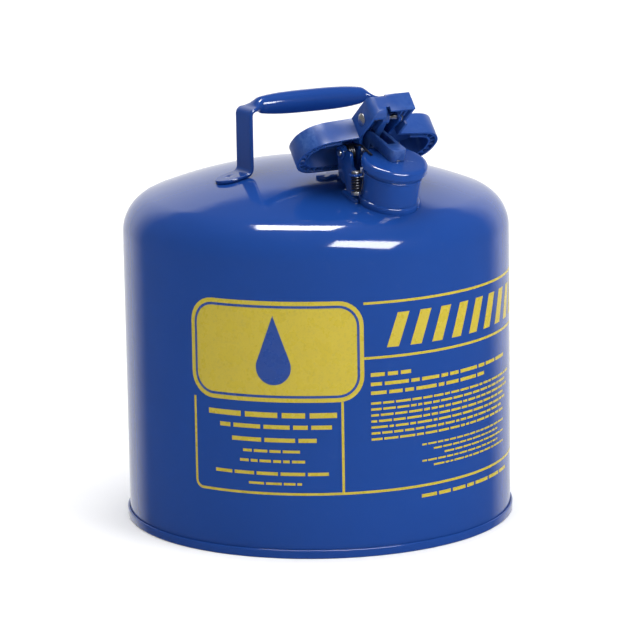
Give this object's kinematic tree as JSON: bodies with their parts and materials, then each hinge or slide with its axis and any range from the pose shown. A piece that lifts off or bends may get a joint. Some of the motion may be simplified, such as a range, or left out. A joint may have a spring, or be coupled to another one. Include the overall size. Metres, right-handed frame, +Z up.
{
  "type": "safety can",
  "caption": "Round steel safety can with domed top, fixed carry handle, and a spring-closed spout lid worked by a two-winged trigger.",
  "frame": {"origin": "middle of the bottom seam's circle, on the ground", "axes": "+Z up, +X points out over the spout, +Y along the carry handle"},
  "size_m": [0.318, 0.318, 0.3583],
  "materials": {
    "paint": "gloss",
    "nylon": "satin",
    "steel": "satin",
    "screen": "matte",
    "spring_steel": "satin",
    "gasket": "matte",
    "print": "satin"
  },
  "bodies": {
    "can": {"body_shell": "paint", "bottom_pan": "paint", "spout_collar": "paint", "arrester_retainer": "steel", "arrester_outer_screen": "screen", "arrester_inner_screen": "screen", "arrester_end_cap": "steel", "carry_handle": "paint", "hinge_bracket": "paint", "trigger_yoke": "paint", "hinge_pin": "steel", "hinge_pin_clip": "steel", "trigger_pin": "steel", "trigger_spacers": "steel", "torsion_spring": "spring_steel", "adjuster_screw": "steel", "adjuster_spring": "spring_steel", "adjuster_nut": "steel"},
    "trigger": {"trigger_lever": "nylon"},
    "lid": {"lid_arm": "nylon", "lid_cap": "paint", "lid_gasket": "gasket", "lid_plate": "steel", "lid_rivet": "steel", "lid_washer": "steel"}
  },
  "joints": [
    {"name": "trigger_squeeze", "type": "hinge", "parent": "can", "child": "trigger", "pos_m": [0.1085, 0, 0.3387], "axis": [0, 1, 0], "range_deg": [0, 17], "stiffness_Nm_per_rad": 0.3, "springref_deg": -20.05},
    {"name": "lid_hinge", "type": "hinge", "parent": "can", "child": "lid", "pos_m": [0.086, 0, 0.31], "axis": [0, -1, 0], "range_deg": [0, 25.5], "stiffness_Nm_per_rad": 0.5, "springref_deg": -34.38, "deforming": ["torsion_spring"]}
  ],
  "couplings": [
    {"joint": "lid_hinge", "follows": "trigger_squeeze", "ratio": 1.5}
  ]
}
